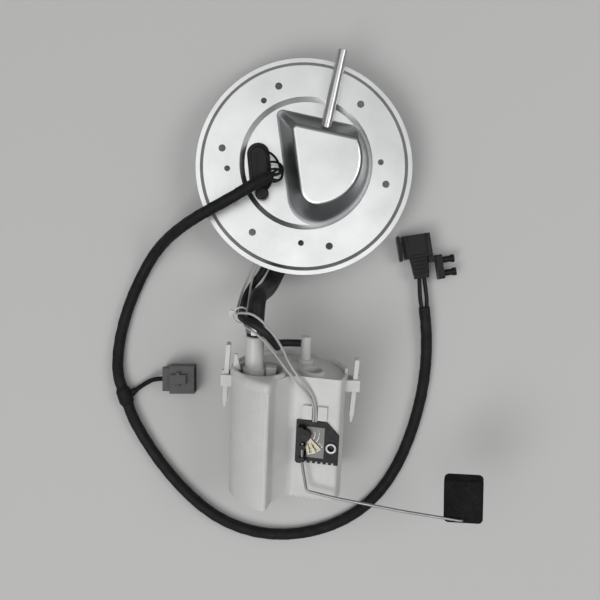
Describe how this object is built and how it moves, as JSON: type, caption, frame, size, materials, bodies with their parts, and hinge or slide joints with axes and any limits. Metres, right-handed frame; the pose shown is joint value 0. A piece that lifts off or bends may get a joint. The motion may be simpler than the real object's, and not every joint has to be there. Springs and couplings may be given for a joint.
{
  "type": "fuel pump module",
  "caption": "In-tank fuel pump module: stamped flange with dome and outlet tube, hoses, wiring loom with connectors, reservoir with pump, level sender and float.",
  "frame": {"origin": "centre of the bolt circle on the flange underside, where the flange meets the tank", "axes": "+Z out of the dome side of the flange, +X through two opposite bolt holes, +Y along the outlet tube; the module lies on a surface below the flange"},
  "size_m": [0.3139, 0.3995, 0.1097],
  "materials": {
    "stamped_steel": "zinc-plated, satin",
    "tube_steel": "plated",
    "black_plastic": "moulded",
    "grey_plastic": "moulded",
    "white_plastic": "moulded",
    "natural_plastic": "moulded",
    "rubber": "moulded",
    "sleeve": "wrapped sleeve",
    "lead_grey": "insulated wire",
    "lead_black": "insulated wire",
    "zinc": "cast",
    "brass": "stamped",
    "steel": "drawn",
    "ferrite": "sintered",
    "ceramic": "fired card",
    "foam": "closed-cell nitrile foam",
    "mesh": "woven nylon"
  },
  "bodies": {
    "module": {"flange_plate": "stamped_steel", "outlet_tube": "tube_steel", "regulator_strap": "steel", "regulator_block": "zinc", "regulator_can": "steel", "pass_through_shell": "black_plastic", "pass_through_seal": "rubber", "pass_through_lower": "black_plastic", "loom_clip_stud": "black_plastic", "pass_through_leads": "lead_black", "loom_front": "sleeve", "loom_tail": "sleeve", "branch_wrap": "sleeve", "branch_lead": "sleeve", "branch_connector": "grey_plastic", "branch_terminals": "brass", "end_connector": "black_plastic", "end_terminals": "brass", "end_boot": "rubber", "end_leads": "lead_black", "mounting_bracket": "black_plastic", "fuel_hose": "rubber", "return_hose": "rubber", "hose_clamps": "steel", "sender_leads": "lead_grey", "cable_tie": "white_plastic", "reservoir": "white_plastic", "reservoir_lid": "white_plastic", "return_elbow": "white_plastic", "jet_tube": "white_plastic", "foot_valve": "rubber", "pump_shell": "steel", "pump_inlet_cover": "zinc", "pump_magnets": "ferrite", "pump_brushes": "ferrite", "pump_isolator": "rubber", "inlet_strainer": "mesh", "pump_outlet_housing": "natural_plastic", "pump_plug": "natural_plastic", "pump_retainer": "natural_plastic", "sender_plate": "black_plastic", "resistor_card": "ceramic"},
    "float_arm": {"wiper_carrier": "black_plastic", "wiper_contact": "brass", "float_wire": "steel", "float_clip": "steel"},
    "float_body": {"float": "foam"},
    "left_arm": {"left_latch_arm": "white_plastic"},
    "right_arm": {"right_latch_arm": "white_plastic"},
    "rotor": {"armature": "steel", "impeller": "natural_plastic"},
    "poppet": {"check_valve_poppet": "black_plastic", "check_valve_spring": "steel"},
    "branch_lock": {"branch_latch": "grey_plastic"},
    "end_lock": {"end_latch": "black_plastic"}
  },
  "joints": [
    {"name": "float_arm_swing", "type": "hinge", "parent": "module", "child": "float_arm", "pos_m": [0.04494, -0.20466, 0.04857], "axis": [-0.1143, -0.3029, 0.9462], "range_deg": [0, 62]},
    {"name": "float_swivel", "type": "hinge", "parent": "float_arm", "child": "float_body", "pos_m": [0.17507, -0.23733, 0.04432], "axis": [-0.1143, -0.3029, 0.9462], "range_deg": [-35, 35]},
    {"name": "left_latch_flex", "type": "hinge", "parent": "module", "child": "left_arm", "pos_m": [-0.02214, -0.17535, 0.03462], "axis": [-0.0489, 0.2781, -0.9593], "range_deg": [-4, 4], "stiffness_Nm_per_rad": 0.4},
    {"name": "right_latch_flex", "type": "hinge", "parent": "module", "child": "right_arm", "pos_m": [0.07457, -0.15833, 0.03462], "axis": [-0.0489, 0.2781, -0.9593], "range_deg": [-4, 4], "stiffness_Nm_per_rad": 0.4},
    {"name": "pump_spin", "type": "hinge", "parent": "module", "child": "rotor", "pos_m": [0.01191, -0.22007, 0.02722], "axis": [-0.1663, 0.9448, 0.2823], "continuous": true},
    {"name": "check_valve_lift", "type": "slide", "parent": "module", "child": "poppet", "axis": [-0.1663, 0.9448, 0.2823], "range_m": [0, 0.002], "stiffness_N_per_m": 200, "springref_m": -0.004},
    {"name": "branch_latch_press", "type": "hinge", "parent": "module", "child": "branch_lock", "pos_m": [-0.0629, -0.1897, -0.012], "axis": [0.2164, -0.9763, 0], "range_deg": [-4, 4], "stiffness_Nm_per_rad": 0.2},
    {"name": "end_latch_press", "type": "hinge", "parent": "module", "child": "end_lock", "pos_m": [0.09086, -0.04653, -0.024], "axis": [0, 0, 1], "range_deg": [-6, 6], "stiffness_Nm_per_rad": 0.3}
  ]
}
